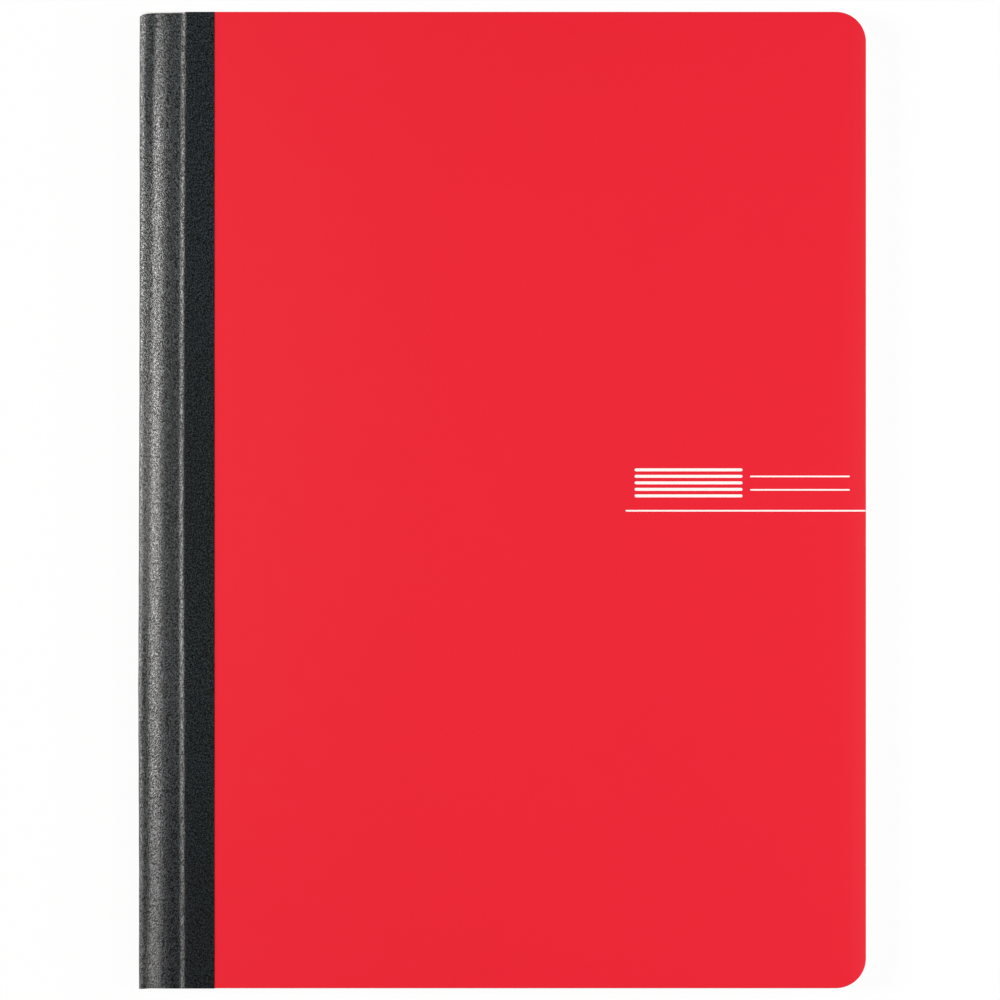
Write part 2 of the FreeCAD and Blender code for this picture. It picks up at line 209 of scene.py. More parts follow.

# %% [markdown]
# The tape is coated book cloth with a fine pressed grain, near black and a little cool. Its sheen comes
# from the coating, so the shader stays dark and semi-gloss. The grain is about a fifth of a millimetre wide
# and half a millimetre long, aslant one way at the head and the other way at the tail, so two slanted
# noises are mixed by the height along the book. Its tops are painted paler, as painted glints, and its
# hollows get less specular, as painted shade. Towards the tail, where the light falls off, painted shade
# darkens the tops and dulls the whole tape.

# %% Tape finish
GRAIN_SIZE = 0.3 * MM
GRAIN_DEPTH = 0.04 * MM
GRAIN_STRETCH = 1.7
GRAIN_TURN = math.radians(50)
TAPE_ROUGHNESS = (0.28, 0.4)
# Specular level from the grain's hollows to its tops; the low value in the hollows is painted shade.
HOLLOW_SHINE, TOP_SHINE = 0.17, 0.81
# Share of the specular kept at the tail: painted shade where the light falls off.
TAIL_SHADE_SHARE = 0.85
HOLLOW_COLOUR = (0.0004, 0.001, 0.0016)
# Colours of the grain's tops, painted paler than the cloth as painted glints; the first, darker one is
# painted shade at the tail.
TAIL_SHADED_GLINT_COLOUR = (0.004, 0.013, 0.019)
GLINT_COLOUR = (0.015, 0.037, 0.047)


def tape_grain(tree, along):
    """Height of the grain: it falls to the right near the head and rises to the right near the tail."""
    stretch = (GRAIN_STRETCH, 1 / GRAIN_STRETCH, 1)
    falling = noise(tree, place(tree, stretch, -GRAIN_TURN), GRAIN_SIZE, 0.0)
    rising = noise(tree, place(tree, stretch, GRAIN_TURN), GRAIN_SIZE, 0.0)
    inputs = {0: remap(tree, along, TAIL * 0.6, HEAD * 0.6), 2: rising, 3: falling}
    return add_node(tree, "ShaderNodeMix", inputs, data_type="FLOAT").outputs[0]


def make_tape_finish():
    material, shader = new_material("book_cloth_black", Specular_IOR_Level=0.5)
    tree = material.node_tree
    along = add_node(tree, "ShaderNodeSeparateXYZ", {0: place(tree)}).outputs["Y"]
    grain = tape_grain(tree, along)
    worn = noise(tree, place(tree, (1, 1, 1), 0.6), GRAIN_SIZE, 0.0)
    tree.links.new(remap(tree, worn, 0.35, 0.65, *TAPE_ROUGHNESS), shader.inputs["Roughness"])
    # Painted shade towards the tail, where the light falls off: the tops are painted darker and the specular
    # is turned down.
    clear_of_tail_shade = remap(tree, along, TAIL, (TAIL + HEAD) / 2)
    # Less specular in the grain's hollows: painted shade.
    hollow_shaded_shine = remap(tree, grain, 0.36, 0.64, HOLLOW_SHINE, TOP_SHINE)
    tail_shade_factor = remap(tree, clear_of_tail_shade, 0, 1, TAIL_SHADE_SHARE, 1.0)
    tail_shaded_shine = math_node(tree, "MULTIPLY", hollow_shaded_shine, tail_shade_factor)
    tree.links.new(tail_shaded_shine, shader.inputs["Specular IOR Level"])
    # The grain's tops are painted paler, as painted glints, over the cloth's near-black hollows.
    glint_colours = blend_colours(tree, clear_of_tail_shade, TAIL_SHADED_GLINT_COLOUR, GLINT_COLOUR)
    glint_mask = remap(tree, grain, 0.53, 0.7)
    colour = blend_colours(tree, glint_mask, HOLLOW_COLOUR, glint_colours)
    tree.links.new(colour, shader.inputs["Base Color"])
    roughen(material, shader, grain, GRAIN_DEPTH)
    return material


tape_finish = make_tape_finish()
print("finish:", tape_finish.name)

# %% [markdown]
# The boards are printed card under a satin film. The film hides the card's fibres, so the face is an even
# red with only a faint unevenness in its gloss. Where the die cut them, the edges show the bare grey card
# in layers.

# %% Board finishes
COVER_RED = (0.84, 0.0165, 0.034, 1)
FILM_ROUGHNESS = (0.36, 0.38)
CARD_GREYS = ((0.33, 0.31, 0.28), (0.62, 0.6, 0.56))


def make_cover_finish():
    material, shader = new_material("laminate_red", Base_Color=COVER_RED, Specular_IOR_Level=0.2)
    tree = material.node_tree
    film = noise(tree, place(tree), 6 * MM, 3.0)
    tree.links.new(remap(tree, film, 0.3, 0.7, *FILM_ROUGHNESS), shader.inputs["Roughness"])
    roughen(material, shader, noise(tree, place(tree), 0.9 * MM), 0.001 * MM)
    return material


def make_card_edge_finish():
    material, shader = new_material("card_edge", Roughness=0.85, Specular_IOR_Level=0.2)
    tree = material.node_tree
    layers = noise(tree, place(tree, (8 * MM, 8 * MM, 0.12 * MM)), 1.0, 3.0, 0.6)
    fibres = noise(tree, place(tree), 0.25 * MM, 2.0)
    tone = math_node(tree, "MULTIPLY_ADD", fibres, 0.4, layers)
    colour = blend_colours(tree, remap(tree, tone, 0.5, 0.95), *CARD_GREYS)
    tree.links.new(colour, shader.inputs["Base Color"])
    roughen(material, shader, tone, 0.03 * MM)
    return material


cover_finish = make_cover_finish()
card_edge_finish = make_card_edge_finish()
print("finishes:", cover_finish.name, card_edge_finish.name)

# %% [markdown]
# The print is white ink, a hair proud of the film. It is not a pure white: a little of the red shows
# through, most where the ink is thin.

# %% Ink finish
INK_WHITES = ((0.98, 0.95, 0.93), (0.96, 0.86, 0.83))


def make_ink_finish():
    material, shader = new_material("ink_white", Roughness=0.45, Specular_IOR_Level=0.2)
    tree = material.node_tree
    thin = noise(tree, place(tree), 0.5 * MM, 2.0)
    colour = blend_colours(tree, remap(tree, thin, 0.5, 0.8), *INK_WHITES)
    tree.links.new(colour, shader.inputs["Base Color"])
    return material


ink_finish = make_ink_finish()
print("finish:", ink_finish.name)

# %% [markdown]
# Paper comes in two looks. The leaves' faces are ruled: thin blue lines at an even pitch under a blank head
# margin, and a red line down the side. The pasted end leaves are plain, with faint ripples where the glue
# drew them. The lines are worked out from the height above the last line, so no image is needed.

# %% Paper finishes
LINE_PITCH = 7.1 * MM
LINE_WIDTH = 0.16 * MM
HEAD_MARGIN = 24 * MM
FOOT_MARGIN = 13 * MM
SIDE_MARGIN = 31.5 * MM
PAPER_WHITES = ((0.80, 0.79, 0.75), (0.87, 0.86, 0.83))
LINE_BLUE = (0.30, 0.45, 0.68)
MARGIN_RED = (0.80, 0.32, 0.36)


def line_mask(tree, distance, width):
    """1 where the distance is 0, fading to 0 about half a width to each side."""
    away = math_node(tree, "ABSOLUTE", distance)
    return remap(tree, away, width * 0.35, width * 0.65, 1.0, 0.0)


def make_paper(name, ruled):
    material, shader = new_material(name, Roughness=0.9, Specular_IOR_Level=0.15)
    tree = material.node_tree
    fibres = noise(tree, place(tree), 0.6 * MM, 4.0, 0.65)
    colour = blend_colours(tree, fibres, *PAPER_WHITES)
    if ruled:
        colour = rule_page(tree, colour)
        roughen(material, shader, fibres, 0.01 * MM)
    else:
        ripple = noise(tree, place(tree, (3, 1, 1)), 9 * MM, 2.0)
        roughen(material, shader, math_node(tree, "MULTIPLY_ADD", fibres, 0.08, ripple), 0.12 * MM)
    tree.links.new(colour, shader.inputs["Base Color"])
    return material


def rule_page(tree, paper):
    """Blue lines and a red margin line, kept off the leaves' edges, which face sideways."""
    split = add_node(tree, "ShaderNodeSeparateXYZ", {0: place(tree)}).outputs
    across, along = split["X"], split["Y"]
    above_foot = math_node(tree, "SUBTRACT", along, TAIL + FOOT_MARGIN)
    pitches = math_node(tree, "DIVIDE", above_foot, LINE_PITCH)
    to_line = math_node(tree, "SUBTRACT", pitches, math_node(tree, "ROUND", pitches))
    blue = line_mask(tree, to_line, LINE_WIDTH / LINE_PITCH)
    inside = remap(tree, along, TAIL + FOOT_MARGIN * 0.8, TAIL + FOOT_MARGIN * 0.9)
    below = remap(tree, along, HEAD - HEAD_MARGIN, HEAD - HEAD_MARGIN * 0.98, 1.0, 0.0)
    blue = math_node(tree, "MULTIPLY", blue, math_node(tree, "MULTIPLY", inside, below))
    red = line_mask(tree, math_node(tree, "SUBTRACT", across, SPINE + SIDE_MARGIN), LINE_WIDTH)
    normal = add_node(tree, "ShaderNodeNewGeometry").outputs["Normal"]
    upwards = add_node(tree, "ShaderNodeSeparateXYZ", {0: normal}).outputs["Z"]
    flat = remap(tree, math_node(tree, "ABSOLUTE", upwards), 0.7, 0.9)
    ruled = blend_colours(tree, math_node(tree, "MULTIPLY", blue, flat), paper, LINE_BLUE)
    return blend_colours(tree, math_node(tree, "MULTIPLY", red, flat), ruled, MARGIN_RED)


page_finish = make_paper("ruled_paper", ruled=True)
end_leaf_finish = make_paper("end_leaf_paper", ruled=False)
print("finishes:", page_finish.name, end_leaf_finish.name)

# %% [markdown]
# All hand-made meshes go through one function. It leaves the object at the origin, turns every face
# outwards and shades it smooth where the surface bends gently.

# %% Mesh helper
def add_mesh(name, points, faces, finishes, finish_of_face=None, crease_degrees=40):
    """A piece from points and faces; an edge bent by more than crease_degrees stays sharp."""
    data = bpy.data.meshes.new(name)
    data.from_pydata([tuple(p) for p in points], [], faces)
    for finish in finishes:
        data.materials.append(finish)
    if finish_of_face:
        data.polygons.foreach_set("material_index", finish_of_face)
    shape = bmesh.new()
    shape.from_mesh(data)
    bmesh.ops.recalc_face_normals(shape, faces=shape.faces)
    for face in shape.faces:
        face.smooth = True
    crease = math.radians(crease_degrees)
    for edge in shape.edges:
        edge.smooth = len(edge.link_faces) == 2 and edge.calc_face_angle(0) < crease
    shape.to_mesh(data)
    shape.free()
    return add_object(name, data)


print("mesh helper ready")

# %% [markdown]
# The tape follows the block beneath it. Seen in section it turns over the spine's edge, runs almost level
# over the first stitches, swells up the shoulder of the leaves, eases off, and climbs a small step on to
# the board. A slope that varies along the section says this best: its rises add up to the surface. Near the
# head the swell stands further in, in the middle the tape also leans over the stitches, and the step
# wanders a little. So the slopes depend on the height along the book too: each row of values below gives
# one of them, at eight stations.

# %% Values that shape the tape
STATIONS = (0.0, 0.12, 0.3, 0.45, 0.6, 0.8, 0.92, 1.0)
REST_SLOPES = (4.1, 5.1, 7.7, 8.3, 8.4, 7.9, 7.2, 7.6)
EDGE_SLOPES = (10.9, 11.4, 12.0, 12.4, 13.0, 14.5, 13.8, 11.4)
EDGE_PLACES = (0.35, 0.4, 0.25, 0.25, 0.25, 0.45, 0.6, 0.7)
EDGE_WIDTH = 0.75 * MM
LEAN_SLOPES = (4.4, 3.5, 1.8, 4.9, 5.8, 4.7, 0.4, 2.2)
LEAN_PLACE = 1.9 * MM
LEAN_WIDTH = 1.2 * MM
SWELL_SLOPES = (12.6, 12.8, 12.9, 11.5, 12.1, 13.3, 10.4, 5.8)
SWELL_PLACES = (3.1, 3.45, 3.2, 3.5, 3.7, 4.0, 4.1, 4.7)
SWELL_BEFORE = (1.1, 0.95, 0.9, 0.9, 0.85, 0.85, 0.8, 0.75)
SWELL_AFTER = (3.1, 2.65, 2.2, 2.0, 2.0, 2.1, 2.35, 1.95)
ROLL_RADIUS = 0.16 * MM
ROLL_DROP = 1.1 * MM
STEP_PLACES = (10.93, 10.9, 10.88, 10.78, 10.83, 11.0, 11.18, 11.35)
STEP_WIDTH = 1.9 * MM
STEP_HEIGHTS = (0.29, 0.28, 0.275, 0.235, 0.235, 0.265, 0.245, 0.235)
STEP_SETTLE = 0.2
STEP_WAVES = ((0.05, 0.43, 0), (0.04, 1.13, 1), (0.03, 2.9, 0))
SECTION_END = hinge + 2.5 * MM
SECTION_STEPS = 290

print(len(STATIONS), "stations from tail to head")

# %% [markdown]
# With the values in place, the surface is a sum. Every bump of the slope is a Gaussian, so it starts and
# ends softly, and numpy adds up the rises along a fine row of points. The step ends at the height of the
# model's tape, and a quarter of an ellipse turns the tape over the spine's edge.

# %% Shape of the tape's outer face
def along_share(y):
    """0 at the tail, 1 at the head."""
    return (y - TAIL) / (HEAD - TAIL)


def at_height(y, values):
    """The value at y, between those given for the stations from tail to head."""
    return float(np.interp(along_share(y), STATIONS, values))


def gaussian(x, centre, width):
    return np.exp(-(((x - centre) / width) ** 2))


def tape_slope(u, y):
    """Slope of the tape, in radians, at a distance u from the spine, before the step."""
    swell_place = at_height(y, SWELL_PLACES) * MM
    before, after = at_height(y, SWELL_BEFORE), at_height(y, SWELL_AFTER)
    swell_width = np.where(u < swell_place, before, after) * MM
    degrees = (
        at_height(y, REST_SLOPES)
        + at_height(y, EDGE_SLOPES) * gaussian(u, at_height(y, EDGE_PLACES) * MM, EDGE_WIDTH)
        + at_height(y, LEAN_SLOPES) * gaussian(u, LEAN_PLACE, LEAN_WIDTH)
        + at_height(y, SWELL_SLOPES) * gaussian(u, swell_place, swell_width)
    )
    return np.radians(degrees)


def step_wander(y):
    """Millimetres that the step strays at y: waves, each of a reach, radians in a millimetre and a start."""
    return sum(reach * math.sin(y / MM * rate + start) for reach, rate, start in STEP_WAVES)


def step_profile(u, y):
    """0 before the step on to the board, 1 after it: a soft foot, a crisp top, and a place that wanders."""
    steepest = (at_height(y, STEP_PLACES) + step_wander(y)) * MM
    x = np.clip((u - steepest) / STEP_WIDTH + 2 / 3, 0, 1)
    settle = np.clip((u - steepest) / STEP_WIDTH, 0, 1)
    return (1 - STEP_SETTLE) * x**3 * (4 - 3 * x) + STEP_SETTLE * settle * settle * (3 - 2 * settle)


def tape_height(u, y):
    """Height of the tape's outer face above the middle leaf at each distance in u, which runs from 0."""
    fine = np.linspace(0, SECTION_END, SECTION_STEPS)
    rise = np.concatenate([[0], np.cumsum(np.tan(tape_slope(fine[1:], y)) * np.diff(fine))])
    past_step = step_profile(fine, y)
    rise = rise - past_step * (rise - rise[np.argmax(past_step > 0.5)])
    step_height = at_height(y, STEP_HEIGHTS) * MM
    foot = top_half - step_height
    slope_height = foot - (rise[-1] - np.interp(u, fine, rise))
    inside = np.clip((ROLL_RADIUS - u) / ROLL_RADIUS, 0, 1)
    roll = ROLL_DROP * (1 - np.sqrt(1 - inside**2))
    return slope_height - roll + step_height * step_profile(u, y)


heights = tape_height(np.array([0, 2, 4, 6, 9, hinge / MM]) * MM, 0.0)
print("tape above the middle leaf:", [round(h / MM, 2) for h in heights], "mm")

# %% [markdown]
# The seam under the tape pushes it out a little at each outer stitch. The stitches' places are read from
# the thread in the model. The spine bows as well, by a tenth to half a millimetre, and most at a third of
# the way up from the tail, where the thick fold was never pressed quite flat.

# %% Stitches under the tape
STITCH_BULGE = 0.05 * MM
BULGE_WIDTH = 0.62
SPINE_BOWS = (0.33, 0.31, 0.51, 0.38, 0.24, 0.17, 0.19, 0.13)


def outer_stitches():
    """Lowest and highest point of each stitch that lies outside the fold."""
    corners = [v.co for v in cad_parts["sewing_thread"].data.vertices]
    ends = sorted({round(c.y, 6) for c in corners if c.x < THREAD_LOW.x + 0.001 * MM})
    return list(zip(ends[::2], ends[1::2]))


stitches = outer_stitches()


def stitch_bulge(y):
    """How far the tape stands out at y: full over a stitch, nothing between two stitches."""
    bulge = 0.0
    for low, high in stitches:
        bulge += float(gaussian(y, (low + high) / 2, (high - low) * BULGE_WIDTH))
    return STITCH_BULGE * min(bulge, 1.0)


print(len(stitches), "outer stitches,", round((stitches[0][1] - stitches[0][0]) / MM, 2), "mm long")

# %% [markdown]
# Half of the tape is one mesh: a grid of sections from tail to head for the outer face, the same grid moved
# in by the tape's thickness, and strips that close the rim. Columns are close together where the section
# bends and at the hinge, where the tape folds when the cover opens. First comes one section: the outer
# points, and the same points moved in along their normals.

# %% One section of the tape
HINGE_BEFORE = 1.5 * MM
HINGE_AFTER = 1.6 * MM
HINGE_COLUMN = 0.1 * MM
CUT_BACK = 0.52 * MM
BOW_REACH = 2.5 * MM
THINNING = 1.6 * MM
GLUE = 0.01 * MM


def section_columns(start):
    """Distances from the spine at which the tape's section is sampled, past the roll."""
    gentle = np.linspace(start, hinge - HINGE_BEFORE, 44)[:-1]
    step = np.arange(hinge - HINGE_BEFORE, hinge + HINGE_AFTER, HINGE_COLUMN)
    wing = np.linspace(hinge + HINGE_AFTER, tape_reach - CUT_BACK, 9)
    return np.concatenate([gentle, step, wing])


def tape_section(y):
    """Points (u, height) of the outer face from the middle of the spine to the tape's edge."""
    turns = np.radians(np.arange(0, 90, 9))
    roll_u = ROLL_RADIUS * (1 - np.cos(turns))
    u = np.concatenate([roll_u, section_columns(ROLL_RADIUS)])
    height = tape_height(u, y)
    back = np.linspace(0, height[0], 5)[:-1]
    bulge = stitch_bulge(y) + at_height(y, SPINE_BOWS) * MM
    bowed = u - gaussian(u, 0, BOW_REACH) * bulge
    return np.concatenate([np.full(len(back), -bulge), bowed]), np.concatenate([back, height])


def inner_face(u, height):
    """The outer section moved in by the tape's thickness, which thins to its rise above the board."""
    du, dh = np.gradient(u), np.gradient(height)
    length = np.hypot(du, dh)
    share = np.clip((u - (hinge - THINNING)) / THINNING, 0, 1)
    thickness = tape_thickness + (tape_rise - GLUE - tape_thickness) * share
    normal_u, normal_h = -dh / length, du / length
    normal_u[0], normal_h[0] = -1.0, 0.0
    return u - normal_u * thickness, height - normal_h * thickness


print(len(tape_section(0.0)[0]), "points in a section")

# %% [markdown]
# The sections are set in a row from tail to head. The ends were not cut quite true: two rows of values let
# the cut at the head stop short, most at the spine, and the cut at the tail stand proud. The other half is
# the mirror image, and the two meet in the middle of the spine, which never moves.

# %% Build the two halves of the tape
TAPE_ROWS = 150
END_PARTS = 12
END_PLACES = (0.0, 0.4, 0.9, 2.0, 2.8, 5.3, 9.1, 11.2, 11.9, 19.0)
HEAD_SET_BACK = (1.03, 0.77, 0.58, 0.41, 0.33, 0.28, 0.27, 0.22, 0.02, 0.0)
TAIL_PROUD = (0.3, 0.28, 0.24, 0.17, 0.13, 0.11, 0.11, 0.1, 0.09, 0.09)
CUT_WOBBLE = 0.02 * MM
CUT_SEED = 7


def end_shift(u, y):
    """Shift along y: down from the head and past the tail, dying out over a twelfth of the height."""
    share = along_share(y)
    from_head = np.interp(u / MM, END_PLACES, HEAD_SET_BACK) * max(share * END_PARTS - END_PARTS + 1, 0)
    past_tail = np.interp(u / MM, END_PLACES, TAIL_PROUD) * max(1 - share * END_PARTS, 0)
    return -(from_head + past_tail) * MM


def make_tape_half(name, side):
    """One half as a closed mesh; side is 1 for the front and -1 for the back."""
    rng = np.random.default_rng(CUT_SEED)
    rows = np.linspace(TAIL, HEAD, TAPE_ROWS)
    wobble = np.convolve(rng.normal(0, 1, TAPE_ROWS + 4), np.ones(5) / 5, "valid") * CUT_WOBBLE
    outer, inner = [], []
    for y, shift in zip(rows, wobble):
        u, height = tape_section(y)
        row_y = y + end_shift(u, y)
        u[-1] += shift
        inner_u, inner_height = inner_face(u, height)
        outer.append(np.column_stack([SPINE + u, row_y, MIDDLE + side * height]))
        inner.append(np.column_stack([SPINE + inner_u, row_y, MIDDLE + side * inner_height]))
    columns = len(outer[0])
    points = np.concatenate(outer + inner)
    second = TAPE_ROWS * columns
    faces = grid_faces(TAPE_ROWS, columns, 0) + grid_faces(TAPE_ROWS, columns, second)
    rim = grid_rim(TAPE_ROWS, columns)
    faces += [(a, b, b + second, a + second) for a, b in zip(rim, rim[1:] + rim[:1])]
    return add_mesh(name, points, faces, [tape_finish])


def grid_faces(rows, columns, first):
    """Four-cornered faces of a grid whose points are numbered row by row from first."""
    grid = first + np.arange(rows * columns).reshape(rows, columns)
    corners = (grid[:-1, :-1], grid[:-1, 1:], grid[1:, 1:], grid[1:, :-1])
    return np.stack(corners, axis=-1).reshape(-1, 4).tolist()


def grid_rim(rows, columns):
    """Indices round the rim of a grid, in order."""
    grid = np.arange(rows * columns).reshape(rows, columns)
    return np.concatenate([grid[0], grid[1:, -1], grid[-1, -2::-1], grid[-2:0:-1, 0]]).tolist()


tape_front = make_tape_half("spine_tape_front", 1)
tape_back = make_tape_half("spine_tape_back", -1)
print("tape:", len(tape_front.data.polygons), "faces in each half")

# %% [markdown]
# Boards are die-cut with two round corners at the fore-edge. One function gives that plan, and an inset
# moves it in, which serves for the soft edges of the laminated face.

# %% Outline of a board
CORNER_STEPS = 24


def board_outline(start, inset=0.0):
    """Points of the plan from x = start to the rounded fore-edge, anticlockwise, moved in by inset."""
    radius = corner_radius - inset
    left, right = start + inset, FORE_EDGE - inset
    low, high = TAIL + inset, HEAD - inset
    quarter = np.linspace(0, math.pi / 2, CORNER_STEPS)
    centre = right - radius
    lower = [(centre + radius * math.sin(a), low + radius - radius * math.cos(a)) for a in quarter]
    upper = [(centre + radius * math.cos(a), high - radius + radius * math.sin(a)) for a in quarter]
    return [(left, low)] + lower + upper + [(left, high)]


print(len(board_outline(BOARD_LOW.x)), "points in a board's outline")

# %% [markdown]
# A board's rim is built from rings of its outline, each a little smaller or larger and at its own height.
# The film wraps over the soft outer edge, the cut face beside it shows bare card, and the inner edge is
# almost sharp.

# %% Build the two boards
FILM_ROUND = 0.14 * MM
BACK_ROUND = 0.05 * MM
FILM_WRAP = 0.16 * MM


def band_faces(first, count):
    """Faces of the closed band between two rings of points, which start at the number first."""
    corners = [(first + i, first + (i + 1) % count) for i in range(count)]
    return [(a, b, b + count, a + count) for a, b in corners]


def make_board(name, inner, outer):
    """A plate between two heights; outer is the laminated face."""
    out = 1 if outer > inner else -1
    rings = [(BACK_ROUND, inner), (0.0, inner + out * BACK_ROUND), (0.0, outer - out * FILM_WRAP)]
    bare_rings = len(rings) - 1
    for angle in np.radians([30, 60, 90]):
        inset = FILM_ROUND * (1 - math.cos(angle))
        rings.append((inset, outer - out * FILM_WRAP * (1 - math.sin(angle))))
    points, faces, finish_numbers = [], [], []
    for inset, height in rings:
        points += [(x, y, height) for x, y in board_outline(BOARD_LOW.x, inset)]
    count = len(points) // len(rings)
    for ring in range(len(rings) - 1):
        faces += band_faces(ring * count, count)
        finish_numbers += [1 if ring < bare_rings else 0] * count
    faces += [tuple(range(count)), tuple(range(len(points) - count, len(points)))]
    finish_numbers += [1, 0]
    return add_mesh(name, points, faces, [cover_finish, card_edge_finish], finish_numbers)


mirror = 2 * MIDDLE
front_board = make_board("front_board_laminated", BOARD_LOW.z, BOARD_HIGH.z)
back_board = make_board("back_board_laminated", mirror - BOARD_LOW.z, mirror - BOARD_HIGH.z)
print("boards:", len(front_board.data.polygons), "faces each")

# %% [markdown]
# The print keeps the model's bars: each solid of the printed node is found, and a thin pad of ink with
# rounded ends is laid on the film in its place.

# %% Lay the printed bars
INK_PROUD = 0.012 * MM
INK_DEEP = 0.05 * MM
END_STEPS = 6


def printed_boxes():
    """Lower left and upper right corner, in plan, of each separate solid of the printed node."""
    shape = bmesh.new()
    shape.from_mesh(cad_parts["cover_print"].data)
    bmesh.ops.remove_doubles(shape, verts=shape.verts, dist=0.0001 * MM)
    left = set(shape.verts)
    boxes = []
    while left:
        island, edge_of_search = set(), [left.pop()]
        while edge_of_search:
            corner = edge_of_search.pop()
            island.add(corner)
            linked = {e.other_vert(corner) for e in corner.link_edges} & left
            left -= linked
            edge_of_search += linked
        xs, ys = [v.co.x for v in island], [v.co.y for v in island]
        boxes.append((min(xs), min(ys), max(xs), max(ys)))
    shape.free()
    return sorted(boxes)


def rounded_bar(low_x, low_y, high_x, high_y):
    """Plan of a bar with half-round ends; an end on the fore-edge is cut square, as the trim cuts it."""
    radius = (high_y - low_y) / 2
    middle = (low_y + high_y) / 2
    half_turn = np.linspace(-math.pi / 2, math.pi / 2, END_STEPS)
    across, along = radius * np.cos(half_turn), radius * np.sin(half_turn)
    if high_x > FORE_EDGE - 0.01 * MM:
        right = [(FORE_EDGE - FILM_ROUND, low_y), (FORE_EDGE - FILM_ROUND, high_y)]
    else:
        right = list(zip(high_x - radius + across, middle + along))
    left = list(zip(low_x + radius - across, middle - along))
    return right + left


def make_print():
    """All bars as one mesh, each a closed prism sunk a little in the film."""
    points, faces = [], []
    for bar in printed_boxes():
        plan = rounded_bar(*bar)
        first, count = len(points), len(plan)
        points += [(x, y, BOARD_HIGH.z - INK_DEEP) for x, y in plan]
        points += [(x, y, BOARD_HIGH.z + INK_PROUD) for x, y in plan]
        faces += band_faces(first, count)
        faces.append(tuple(range(first, first + count)))
        faces.append(tuple(range(first + count, first + 2 * count)))
    return add_mesh("cover_print_ink", points, faces, [ink_finish])


cover_print = make_print()
print("print:", len(printed_boxes()), "bars")

# %% [markdown]
# The page block is forty sheets, each folded once, one inside the other. Geometry Nodes suit it, because
# every sheet follows one rule. The script makes a single sheet flat: x holds the distance from the fold,
# negative for the back leaf, and z tells its inner face from its outer face. A tree then copies, numbers
# and bends it.

# %% One flat sheet
SHEETS = 40
block_width = FORE_EDGE - BLOCK_LOW.x
FOLD_STEPS = [0, 0.04, 0.12, 0.25, 0.45, 0.7, 1.0, 1.4, 1.9, 2.5, 3.2, 4.0, 5.0, 6.2, 7.8, 10.0, 14.0]


def corner_columns(edge, steps):
    """Columns round a trimmed corner that ends at edge: place, and how far the corner cuts in there."""
    angles = np.linspace(0, math.pi / 2, steps)
    return list(zip(edge - corner_radius * (1 - np.sin(angles)), corner_radius * (1 - np.cos(angles))))


def slab_faces(count):
    """Faces of a thin slab of four rows of points: foot and head of one face, then of the other."""
    faces = []
    for i in range(count - 1):
        faces.append((i, i + 1, count + i + 1, count + i))
        faces.append((2 * count + i, 3 * count + i, 3 * count + i + 1, 2 * count + i + 1))
        faces.append((i, 2 * count + i, 2 * count + i + 1, i + 1))
        faces.append((count + i, count + i + 1, 3 * count + i + 1, 3 * count + i))
    for i in (0, count - 1):
        faces.append((i, count + i, 3 * count + i, 2 * count + i))
    return faces


def make_flat_sheet():
    leaf = [(step * MM, 0.0) for step in FOLD_STEPS] + corner_columns(block_width, 12)
    columns = [(-u, cut) for u, cut in reversed(leaf[1:])] + leaf
    points = []
    for face_side in (-0.5, 0.5):
        for foot in (True, False):
            for u, cut in columns:
                points.append((u, TAIL + cut if foot else HEAD - cut, face_side))
    faces = slab_faces(len(columns))
    return add_mesh("page_block_sheets", points, faces, [page_finish], crease_degrees=60)


page_block = make_flat_sheet()
print("flat sheet:", len(page_block.data.polygons), "faces")

# %% [markdown]
# A small class keeps a Geometry Nodes tree readable: it adds nodes and gives sums a short name. A function
# runs a tree on a piece and keeps the result as a plain mesh.

# %% Helpers for Geometry Nodes
class Tree:
    """A Geometry Nodes tree with named inputs."""

    def __init__(self, name, inputs):
        self.group = bpy.data.node_groups.new(name, "GeometryNodeTree")
        self.group.interface.new_socket("Geometry", in_out="INPUT", socket_type="NodeSocketGeometry")
        for label, kind in inputs.items():
            self.group.interface.new_socket(label, in_out="INPUT", socket_type=kind)
        self.group.interface.new_socket("Geometry", in_out="OUTPUT", socket_type="NodeSocketGeometry")
        self.inputs = self.group.nodes.new("NodeGroupInput").outputs
        self.result = self.group.nodes.new("NodeGroupOutput").inputs[0]

    def add(self, kind, inputs=(), **settings):
        return add_node(self.group, kind, inputs, **settings)

    def sum(self, operation, *numbers, clamp=False):
        return math_node(self.group, operation, *numbers, clamp=clamp)

    def finish(self, geometry, material):
        whole = self.add("GeometryNodeRealizeInstances", {0: geometry}).outputs[0]
        painted = self.add("GeometryNodeSetMaterial", {"Geometry": whole, "Material": material})
        self.group.links.new(painted.outputs[0], self.result)


def run_tree(piece, tree, values):
    """Runs the tree on the piece with these values and keeps the result as a plain mesh."""
    modifier = piece.modifiers.new(tree.group.name, "NODES")
    modifier.node_group = tree.group
    for item in tree.group.interface.items_tree:
        if item.in_out == "INPUT" and item.name in values:
            modifier[item.identifier] = values[item.name]
    evaluated = piece.evaluated_get(bpy.context.evaluated_depsgraph_get())
    made = bpy.data.meshes.new_from_object(evaluated)
    piece.modifiers.remove(modifier)
    if piece.type == "MESH":
        piece.data = made
        return piece
    name = piece.name
    bpy.data.objects.remove(piece)
    return add_object(name, made)


print("tree helpers ready")

# %% [markdown]
# The block's half thickness grows from its fold to the flat of the leaves. A Float Curve node holds that
# section, and its points are read from the tape's own height, less the tape, so that the block always fills
# the tape.

# %% The block's section as a curve
SECTION_SPAN = 14 * MM
SECTION_PLACES = (0, 1.2, 2.4, 3.4, 4.4, 5.6, 7.5)


